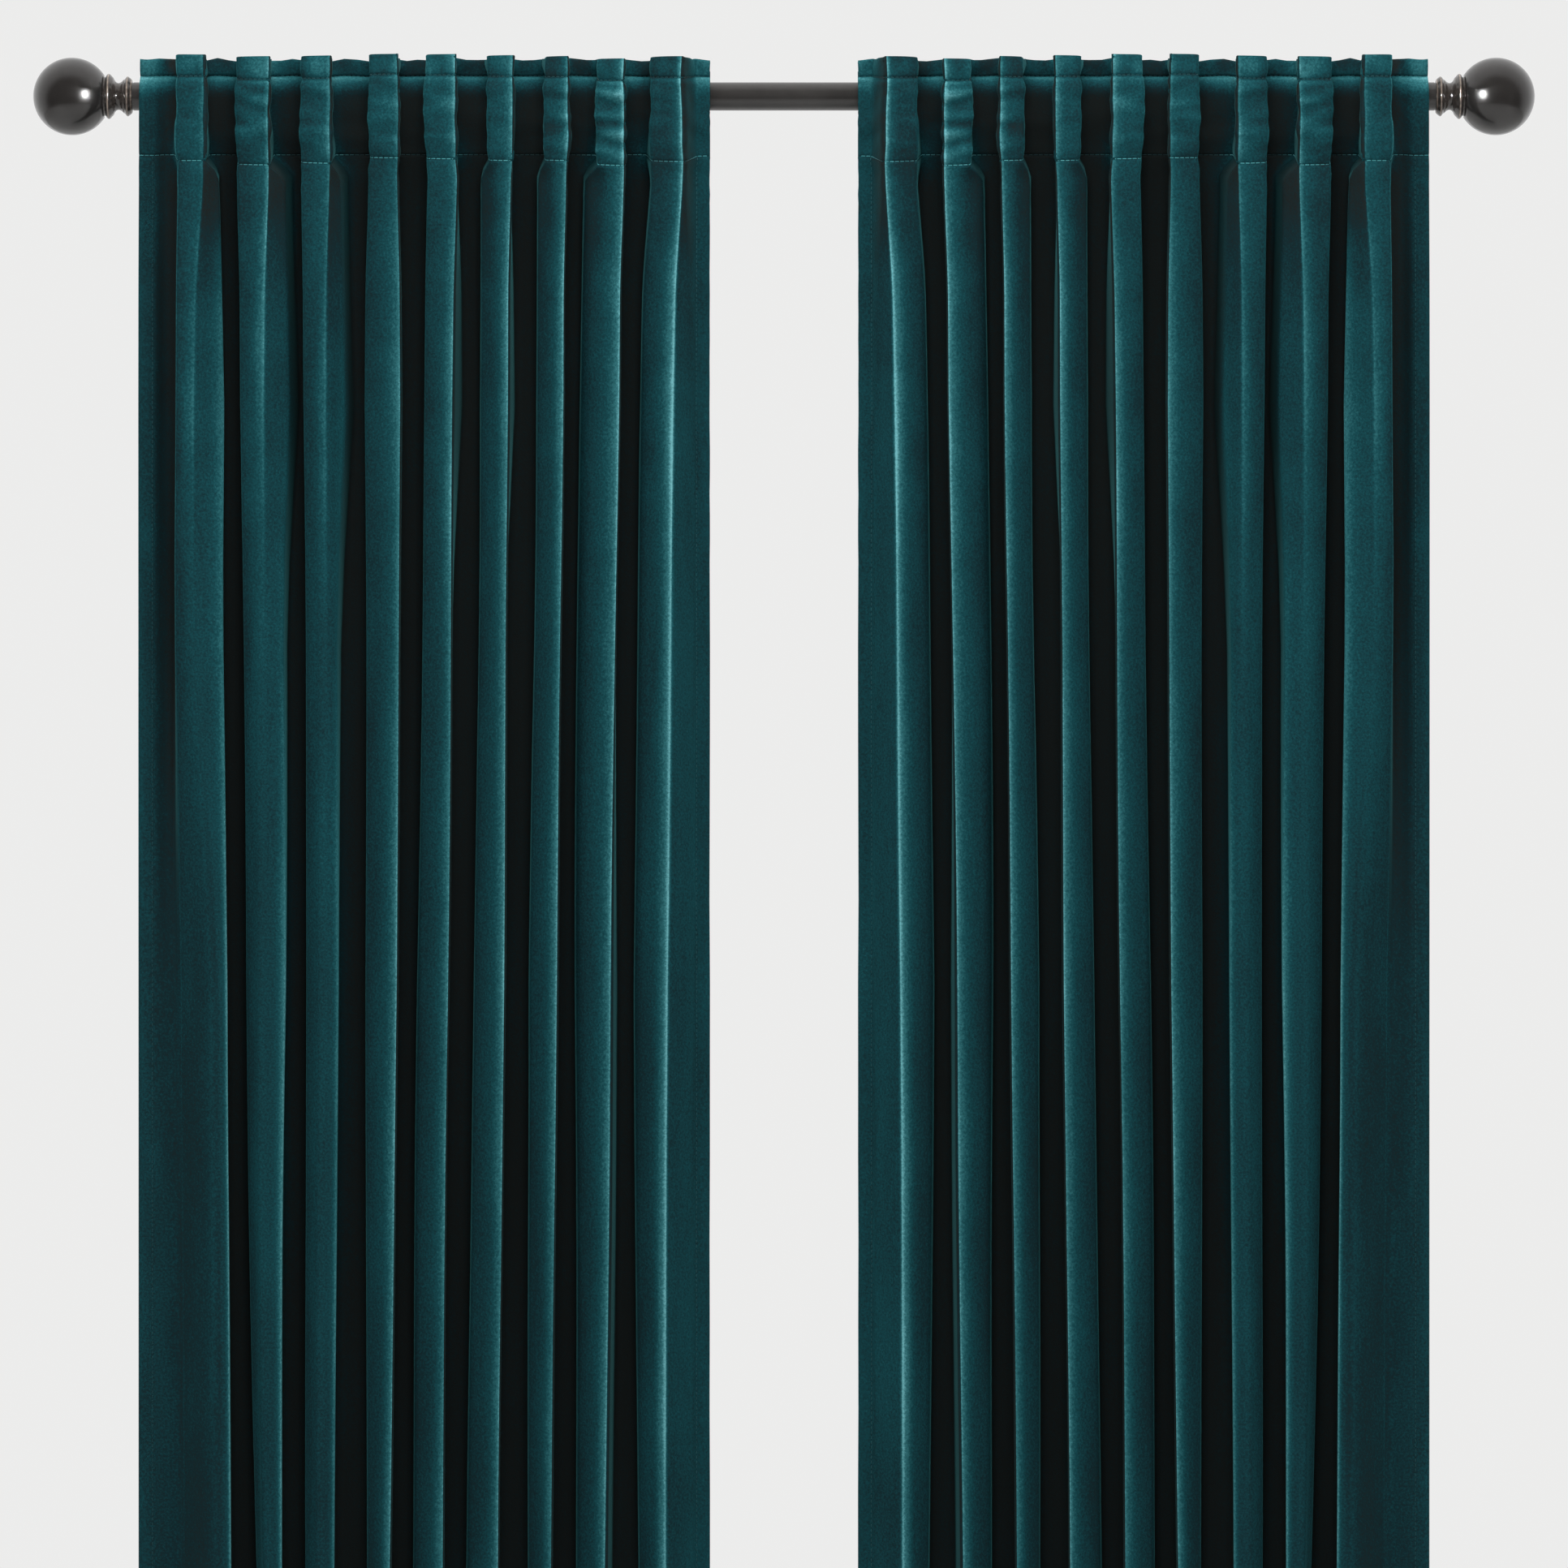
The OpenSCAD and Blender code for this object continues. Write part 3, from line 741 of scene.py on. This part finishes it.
def panel_grid():
    """The middle of the velvet as a (rows, columns, 3) grid in across coordinates, and its tone."""
    grid, pile_and_painted_light, forward = smooth_panel()
    z0 = HEIGHTS[:, None] * np.ones_like(forward)
    along = run_lengths(grid[..., :2])
    pocket = smooth_step((z0 - POCKET_SEAM_Z) / 0.012) * smooth_step((HEADER_SEAM_Z - z0) / 0.010)
    header = smooth_step((z0 - HEADER_SEAM_Z) / 0.008) * smooth_step((TOP_Z - z0) / 0.006)
    ruffle = (1 - forward) * smooth_step((z0 - HEADER_SEAM_Z) / 0.012)
    rub = noise_field(along[0], 55, 38, 4.4)
    crinkle = noise_field(along[0], 34, 120, 8.8, 9) * pocket * forward * np.array(CRINKLES)[FOLD_OF]
    gather = np.array([[wave(u + 0.4 * height, 5, 0.013) for u in along[0]] for height in HEIGHTS])

    puff = seam_puff(z0, along, forward, pocket, header) + buckles(along, forward)
    puff += 1.5 * MM * crinkle + 3.4 * MM * ruffle * gather
    grid = grid + grid_normals(grid) * puff[..., None] * np.array([1.0, 1.0, 0.4])
    dip = np.array([wave(u, 6, 0.019) for u in along[0]])
    grid[..., 2] -= near_top(z0) * (1 - forward) * (1.6 + 2.2 * dip) * MM

    # Painted light: a lit band on the recesses where they come over the rod. The fronts are a little
    # lighter in the header and pocket.
    lit = np.where(z0 < HEADER_SEAM_Z, smooth_step((z0 + 5.5 * MM) / 0.024), 0.50)
    pile_and_painted_light = pile_and_painted_light + 0.50 * (1 - forward) ** 2 * lit
    pile_and_painted_light += 0.07 * header * forward + 0.03 * pocket * forward
    # the pile's random mottle (rub), and painted light and shade following the gathers and crinkles
    pile_and_painted_light += rub * (0.16 * (z0 > HEADER_SEAM_Z) + 0.07) + 0.17 * ruffle * gather + 0.19 * crinkle
    # painted highlights along the folds' outer shoulders
    pile_and_painted_light[:, SHOULDERS] += np.array(PAINTED_SHOULDER_HIGHLIGHTS) * forward[:, SHOULDERS]
    pile_and_painted_light[:, SHOULDERS + 1] += 0.03
    # painted shade in the seams' grooves, and a painted highlight just under the header seam
    pile_and_painted_light -= 0.10 * bell(z0 - HEADER_SEAM_Z, SEAM_WIDTH) + 0.05 * bell(z0 - POCKET_SEAM_Z, SEAM_WIDTH)
    pile_and_painted_light += 0.11 * bell(z0 - HEADER_SEAM_Z + 3.2 * MM, 1.5 * MM)
    return grid, np.clip(pile_and_painted_light, 0, 1)


PANEL_GRID, PANEL_TONE = panel_grid()
PANEL_NORMAL = grid_normals(PANEL_GRID)


def offset_sheet(rows, columns, near, far):
    """Two grids over part of the panel, near and far from its middle along its normals."""
    part = (slice(*rows), slice(*columns))
    grid, normal = PANEL_GRID[part], PANEL_NORMAL[part]
    return grid + normal * near, grid + normal * far


def make_panel(side, sign):
    """The whole velvet panel, pile to the front and woven ground to the back."""
    front, back = offset_sheet((None,), (None,), CLOTH_T / 2, -CLOTH_T / 2)
    vertices, faces, front_count = closed_sheet(front, back)
    vertices, faces = mirrored(vertices, faces, sign)
    pile_and_painted_light = np.concatenate([PANEL_TONE.ravel(), np.full(PANEL_TONE.size, BACK_TONE)])
    index = np.zeros(len(faces), int)
    index[front_count : 2 * front_count] = 1
    finishes = [VELVET, VELVET_BACK]
    return mesh_object(f"{side}_velvet_panel", vertices, faces, finishes, {"pile_and_painted_light": pile_and_painted_light}, index)


def make_turning(name, sign, rows, columns):
    """Cloth turned to the panel's back: a pocket's back layer or a hem."""
    front, back = offset_sheet(rows, columns, -CLOTH_T / 2 - 0.15 * MM, -CLOTH_T / 2 - 1.0 * MM)
    vertices, faces, _ = closed_sheet(front, back)
    vertices, faces = mirrored(vertices, faces, sign)
    return mesh_object(name, vertices, faces, [VELVET], {"pile_and_painted_light": np.full(len(vertices), BACK_TONE)})


# ---------------------------------------------------------------- back tabs

TAB_T = 1.4 * MM
TAB_ROWS = 40


def tab_path():
    """The tab's middle line in (y, z): from the header seam round the rod's back to the pocket seam."""
    high_y = RECESS_Y + float(recess_lean(HEADER_SEAM_Z))
    low_y = RECESS_Y + float(recess_lean(POCKET_SEAM_Z)) + 2.6 * MM
    radius = ROD_R + 0.6 * MM + TAB_T
    turn = np.radians(np.linspace(66, -52, 14))
    points = np.array([
        (high_y + 2.4 * MM, HEADER_SEAM_Z + 4 * MM),
        (high_y + 2.6 * MM, HEADER_SEAM_Z - 0.5 * MM),
        *[(ROD_Y + radius * math.cos(a), radius * math.sin(a)) for a in turn],
        (low_y + 2 * MM, POCKET_SEAM_Z + 9 * MM),
        (low_y, POCKET_SEAM_Z),
        (low_y, POCKET_SEAM_Z - 4 * MM),
    ])
    length = run_lengths(points)
    at = np.linspace(0, length[-1], TAB_ROWS)
    return np.stack([np.interp(at, length, points[:, i]) for i in range(2)], axis=-1)


def make_tab(side, sign, k):
    """Back tab k: a strap with slightly thinner, uneven edges."""
    low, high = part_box(f"left_back_tab_{k}")
    centre, half = -(low.x + high.x) / 2, (high.x - low.x) / 2
    path = tab_path()
    tangent = np.gradient(path, axis=0)
    tangent /= np.linalg.norm(tangent, axis=1, keepdims=True)
    outward = np.stack([-tangent[:, 1], tangent[:, 0]], axis=-1)
    outward *= np.sign(np.sum(outward * (path - [ROD_Y, 0]), axis=1))[:, None]
    across = np.linspace(-1, 1, 13)
    grid = np.empty((TAB_ROWS, len(across), 3))
    thick = np.empty((TAB_ROWS, len(across)))
    for j in range(TAB_ROWS):
        for i, a in enumerate(across):
            crease = 0.35 * MM * wave(a * 3 + j * 0.13, k + 3, 1.0)
            width = half - 0.7 * MM * bell(j - TAB_ROWS * 0.4, 9)
            grid[j, i] = (centre + a * width, *(path[j] + outward[j] * (0.35 * MM + crease)))
            thick[j, i] = TAB_T / 2 * (1 if abs(a) < 0.8 else 0.7)
    offset = np.concatenate([np.zeros((TAB_ROWS, 1)), outward], axis=1)[:, None, :] * thick[..., None]
    vertices, faces, _ = closed_sheet(grid + offset, grid - offset)
    vertices, faces = mirrored(vertices, faces, sign)
    pile_and_painted_light = np.full(len(vertices), TAB_TONE)
    return mesh_object(f"{side}_velvet_tab_{k}", vertices, faces, [VELVET], {"pile_and_painted_light": pile_and_painted_light})


# ---------------------------------------------------------------- stitching


def seam_path(row):
    """The front of the panel along a row, as points, normals and tones."""
    return PANEL_GRID[row] + PANEL_NORMAL[row] * CLOTH_T / 2, PANEL_NORMAL[row], PANEL_TONE[row]


def edge_path(distance, from_leading, first_row):
    """The front of the panel down a line at a distance from one of its side edges."""
    points, normals, tones = [], [], []
    for j in range(first_row, ROWS):
        line, normal, pile_and_painted_light = PANEL_GRID[j], PANEL_NORMAL[j], PANEL_TONE[j]
        if from_leading:
            line, normal, pile_and_painted_light = line[::-1], normal[::-1], pile_and_painted_light[::-1]
        run = run_lengths(line)
        points.append([np.interp(distance, run, line[:, i]) for i in range(3)])
        normals.append([np.interp(distance, run, normal[:, i]) for i in range(3)])
        tones.append(np.interp(distance, run, pile_and_painted_light))
    normals = np.array(normals)
    return np.array(points) + normals * CLOTH_T / 2, normals, np.array(tones)


# Points in one stitch: two tips and two rings of four
STITCH_POINTS = 10


def stitches(points, normals, tones, length, gap, radius):
    """Vertices, faces and tones of the stitches laid end to end along a path."""
    run = run_lengths(points)
    starts = np.arange(gap, run[-1] - length - gap, length + gap)

    def along(at, values):
        return np.stack([np.interp(at, run, values[:, i]) for i in range(3)], axis=-1)

    a, b = along(starts, points), along(starts + length, points)
    up = along(starts + length / 2, normals)
    up /= np.linalg.norm(up, axis=1, keepdims=True)
    ahead = (b - a) / np.maximum(np.linalg.norm(b - a, axis=1, keepdims=True), 1e-9)
    sideways = np.cross(up, ahead)
    rows = [a - up * radius * 0.4, b - up * radius * 0.4]
    for share in (0.18, 0.82):
        lifted = along(starts + length * share, points) + up * radius * 0.8
        rows += [lifted + part * radius for part in (up, sideways, -up, -sideways)]
    faces = []
    for s in range(len(starts)):
        first = STITCH_POINTS * s
        for i in range(4):
            p, q = first + 2 + i, first + 2 + (i + 1) % 4
            faces.append((first, q, p))
            faces.append((p, q, q + 4, p + 4))
            faces.append((first + 1, p + 4, q + 4))
    vertices = np.stack(rows, axis=1).reshape(-1, 3)
    return vertices, faces, np.repeat(np.interp(starts + length / 2, run, tones), STITCH_POINTS)


def make_stitching(side, sign, name, thread, paths, length, gap, radius):
    """One seam's stitching as one piece, along one or more paths."""
    vertices, faces, tones, count = [], [], [], 0
    for path in paths:
        v, f, pile_and_painted_light = stitches(*path, length, gap, radius)
        vertices.append(v)
        tones.append(pile_and_painted_light)
        faces += [tuple(i + count for i in face) for face in f]
        count += len(v)
    vertices, faces = mirrored(np.concatenate(vertices), faces, sign)
    pile_and_painted_light = {"pile_and_painted_light": np.concatenate(tones)}
    return mesh_object(f"{side}_{name}_stitching", vertices, faces, [thread], pile_and_painted_light, smooth=False)


def nearest_row(z):
    """The row of the grid nearest to a height."""
    return int(np.argmin(np.abs(HEIGHTS - z)))


# ---------------------------------------------------------------- finials


def rounded_line(points, steps):
    """A smooth curve through the points, Catmull-Rom."""
    points = np.array(points, float)
    padded = np.concatenate([2 * points[:1] - points[1:2], points, 2 * points[-1:] - points[-2:-1]])
    out = []
    for i in range(len(points) - 1):
        p0, p1, p2, p3 = padded[i : i + 4]
        for t in np.arange(steps) / steps:
            out.append(
                0.5 * (2 * p1 + (p2 - p0) * t + (2 * p0 - 5 * p1 + 4 * p2 - p3) * t**2
                       + (3 * p1 - p0 - 3 * p2 + p3) * t**3)
            )
    out.append(points[-1])
    return np.array(out)


TURNED_SIDES = 128


def lathe(name, outline, sign, wear):
    """A turned solid about the rod's axis. outline is rows of (across, radius); its ends are closed."""
    rings = np.array(outline, float)
    segments = TURNED_SIDES
    angle = np.linspace(0, 2 * math.pi, segments, endpoint=False)
    x, radius = np.repeat(rings[:, 0], segments), np.repeat(rings[:, 1], segments)
    turn = np.tile(angle, len(rings))
    vertices = np.stack([x, ROD_Y + radius * np.cos(turn), radius * np.sin(turn)], axis=-1)
    ends = [(rings[0, 0], ROD_Y, 0), (rings[-1, 0], ROD_Y, 0)]
    vertices = np.concatenate([vertices, ends])
    first_end, last_end = len(vertices) - 2, len(vertices) - 1
    faces = []
    for s in range(segments):
        t = (s + 1) % segments
        for ring in range(len(rings) - 1):
            a, b = ring * segments, (ring + 1) * segments
            faces.append((a + s, a + t, b + t, b + s))
        faces.append((first_end, t, s))
        last = (len(rings) - 1) * segments
        faces.append((last_end, last + s, last + t))
    vertices, faces = mirrored(vertices, faces, sign)
    rubbed = np.concatenate([np.repeat(wear, segments), [0, 0]])
    return mesh_object(name, vertices, faces, [FINIAL_BRONZE], {"wear": rubbed})


# The neck's outline: (distance from where it starts, radius) in mm, out to the ball's seat
NECK_OUTLINE = (
    (0, 12.6), (0.6, 15.0), (1.8, 16.2), (3.2, 17.3), (4.3, 18.0), (5.4, 17.6), (6.3, 16.5), (7.2, 15.5),
    (8.6, 14.7), (10.1, 13.2), (12.3, 12.2), (14.0, 12.4), (15.2, 13.2), (16.2, 14.6), (17.4, 16.8),
    (18.9, 18.4), (20.2, 19.8), (21.4, 20.4), (22.6, 20.0), (23.6, 18.9), (24.0, 17.6), (26.6, 17.4),
)
# The edges of its rings, where the bronze is rubbed, and where the ball is cut off flat
NECK_CRESTS = (0.8, 4.3, 21.4)
BALL_SEAT = 25.8


def make_finial(side, sign):
    low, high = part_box("left_finial_ball")
    radius = (high.z - low.z) / 2
    centre = -low.x - radius
    start = math.acos(min(1.0, (centre - NECK_START - BALL_SEAT * MM) / radius))
    turn = np.linspace(math.pi - start, 0.02, 56)
    ball = np.stack([centre + radius * np.cos(turn), radius * np.sin(turn)], axis=-1)
    made_ball = lathe(f"{side}_bronze_ball", ball, sign, np.zeros(len(ball)))
    neck = rounded_line(NECK_OUTLINE, 4)
    wear = 0.07 + 0.8 * sum(bell(neck[:, 0] - crest, 0.5) for crest in NECK_CRESTS)
    neck = neck * MM + [NECK_START, 0]
    made_neck = lathe(f"{side}_bronze_neck", neck, sign, np.clip(wear, 0, 1))
    for piece, old in ((made_ball, "ball"), (made_neck, "neck")):
        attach(piece, f"{side}_finial")
        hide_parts(f"{side}_finial_{old}")


# ---------------------------------------------------------------- build

POCKET_ROW = nearest_row(POCKET_SEAM_Z)
HEADER_ROW = nearest_row(HEADER_SEAM_Z)
HEM_ROW = nearest_row(HEM_Z + BOTTOM_HEM)
HEM_COLUMNS = 5
INNER_HEM_COLUMN = COLUMNS - HEM_COLUMNS - 3


def make_curtain(side, sign):
    """One panel with its hems, stitching and tabs."""
    panel = make_panel(side, sign)
    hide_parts(*[f"{side}_panel_fold_{k}" for k in range(1, FOLDS + 1)])
    turnings = (
        ("pocket_back", (0, POCKET_ROW + 3), (None,)),
        ("outer_hem", (POCKET_ROW + 4, None), (0, HEM_COLUMNS)),
        ("leading_hem", (POCKET_ROW + 4, None), (INNER_HEM_COLUMN, None)),
        ("bottom_hem", (HEM_ROW, None), (HEM_COLUMNS, INNER_HEM_COLUMN)),
    )
    extras = [make_turning(f"{side}_{name}", sign, rows, columns) for name, rows, columns in turnings]
    side_edges = [edge_path(SIDE_HEM, leading, POCKET_ROW) for leading in (False, True)]
    # Each seam's stitches: their length, the gap between them and their radius, in mm
    seams = (
        ("pocket", THREAD, [seam_path(POCKET_ROW)], (4.4, 0.25, 0.40)),
        ("header", DARK_THREAD, [seam_path(HEADER_ROW)], (3.0, 1.2, 0.4)),
        ("hem", DARK_THREAD, [*side_edges, seam_path(HEM_ROW)], (3.2, 1.2, 0.35)),
    )
    for name, thread, paths, sizes in seams:
        extras.append(make_stitching(side, sign, name, thread, paths, *[mm * MM for mm in sizes]))
    for k in range(1, TABS + 1):
        tab = make_tab(side, sign, k)
        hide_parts(f"{side}_back_tab_{k}")
        extras.append(tab)
    for piece in [panel, *extras]:
        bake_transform(piece)


def cad_finish(name):
    """The material of a node carried over from the CAD."""
    if "panel_fold" in name or "tab" in name:
        return VELVET
    if "stud" in name or "screw" in name:
        return STEEL
    if "bush" in name:
        return NYLON
    return FINIAL_BRONZE if "finial" in name else ROD_BRONZE


for side, sign in SIDES.items():
    make_curtain(side, sign)
    make_finial(side, sign)

for name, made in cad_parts.items():
    made.data.materials.clear()
    made.data.materials.append(cad_finish(name))

# ---------------------------------------------------------------- floor, light and camera


FLOOR_RADIUS = 4.6
FLOOR_GAP = 0.02
FLOOR_SIDES = 96


def make_floor():
    turn = np.linspace(0, 2 * math.pi, FLOOR_SIDES, endpoint=False)
    z = HEM_Z - FLOOR_GAP
    corners = [(FLOOR_RADIUS * math.cos(a), FLOOR_RADIUS * math.sin(a), z) for a in turn]
    return mesh_object("floor", corners, [tuple(range(FLOOR_SIDES))], [FLOOR], smooth=False)


def soft_light(name, place, target, size, power):
    data = bpy.data.lights.new(name, "AREA")
    data.shape = "RECTANGLE"
    data.size, data.size_y = size
    data.energy = power
    made = bpy.data.objects.new(name, data)
    made.location = place
    made.rotation_mode = "QUATERNION"
    made.rotation_quaternion = (Vector(target) - Vector(place)).to_track_quat("-Z", "Y")
    made.visible_camera = False
    bpy.context.scene.collection.objects.link(made)
    return made


# Place, target, size in metres and power in watts
SOFTBOXES = {
    "left_softbox": ((-3.0, -2.4, 0.1), (0, -0.1, -0.9), (1.4, 3.2), 70),
    "right_softbox": ((3.0, -2.4, 0.1), (0, -0.1, -0.9), (1.4, 3.2), 70),
    "front_softbox": ((0, -3.6, 0.8), (0, -0.1, -0.7), (1.6, 1.6), 55),
    "overhead_softbox": ((0, -1.0, 2.0), (0, -0.1, -0.1), (2.6, 1.0), 85),
    "back_left_softbox": ((-1.9, 3.0, 0.6), (0, 0, -0.9), (1.8, 2.6), 120),
    "back_right_softbox": ((1.9, 3.0, 0.6), (0, 0, -0.9), (1.8, 2.6), 120),
}
GLINT_SIZE = 0.020
GLINT_POWER = 0.032
GLINT_SPREAD = math.radians(14)


def make_lights():
    """Soft boxes that don't show in the bronze, and a small lamp for each ball that only shows there."""
    for name, setting in SOFTBOXES.items():
        soft_light(name, *setting).visible_glossy = False
    for side, sign in SIDES.items():
        place, target = (0.408 * sign, -0.35, 0.012), (0.642 * sign, ROD_Y, 0)
        glint = soft_light(f"{side}_glint", place, target, (GLINT_SIZE, GLINT_SIZE), GLINT_POWER)
        glint.visible_diffuse = False
        glint.data.spread = GLINT_SPREAD


def grey_ramp(tree, stops):
    return ramp_node(tree, [(position, (grey,) * 3) for position, grey in stops])


def make_room():
    """A pale world. Its walls are beside, behind and above the window; in front the studio is dark."""
    world = bpy.data.worlds.new("pale_room")
    world.use_nodes = True
    bpy.context.scene.world = world
    sky = world.node_tree
    link = sky.links.new
    path = node(sky, "ShaderNodeLightPath")
    direction = node(sky, "ShaderNodeTexCoord")
    parts = node(sky, "ShaderNodeSeparateXYZ")
    link(direction.outputs["Generated"], parts.inputs["Vector"])
    behind = add_up(sky, 0.5, (parts.outputs["Y"], 0.5), (parts.outputs["Z"], 0.16))
    fill = grey_ramp(sky, ((0.1, 0.12), (0.45, 0.16), (0.65, 0.55), (1.0, 0.75)))
    gloss = grey_ramp(sky, ((0.30, 0.10), (0.46, 0.75), (0.8, 1.2), (1.0, 1.0)))
    for ramp in (fill, gloss):
        link(behind, ramp.inputs["Fac"])
    reflected = node(sky, "ShaderNodeMix", data_type="RGBA")
    link(path.outputs["Is Glossy Ray"], reflected.inputs["Factor"])
    link(fill.outputs["Color"], reflected.inputs["A"])
    link(gloss.outputs["Color"], reflected.inputs["B"])
    seen = node(sky, "ShaderNodeMix", data_type="RGBA")
    link(path.outputs["Is Camera Ray"], seen.inputs["Factor"])
    link(reflected.outputs["Result"], seen.inputs["A"])
    seen.inputs["B"].default_value = (0.84, 0.84, 0.835, 1)
    link(seen.outputs["Result"], sky.nodes["Background"].inputs["Color"])


CAMERA_DISTANCE = 7.0
CAMERA_Z = -0.62
VIEW_WIDTH = 1.414
SENSOR = 36.0


def make_camera():
    """Straight in front, VIEW_WIDTH across at the rod."""
    data = bpy.data.cameras.new("camera")
    data.sensor_width = SENSOR
    data.lens = SENSOR * CAMERA_DISTANCE / VIEW_WIDTH
    made = bpy.data.objects.new("camera", data)
    made.location = (0, ROD_Y - CAMERA_DISTANCE, CAMERA_Z)
    made.rotation_euler = (math.pi / 2, 0, 0)
    bpy.context.scene.collection.objects.link(made)
    return made


make_floor()
make_lights()
make_room()
bpy.context.scene.view_settings.view_transform = "Standard"
bpy.context.scene.camera = make_camera()
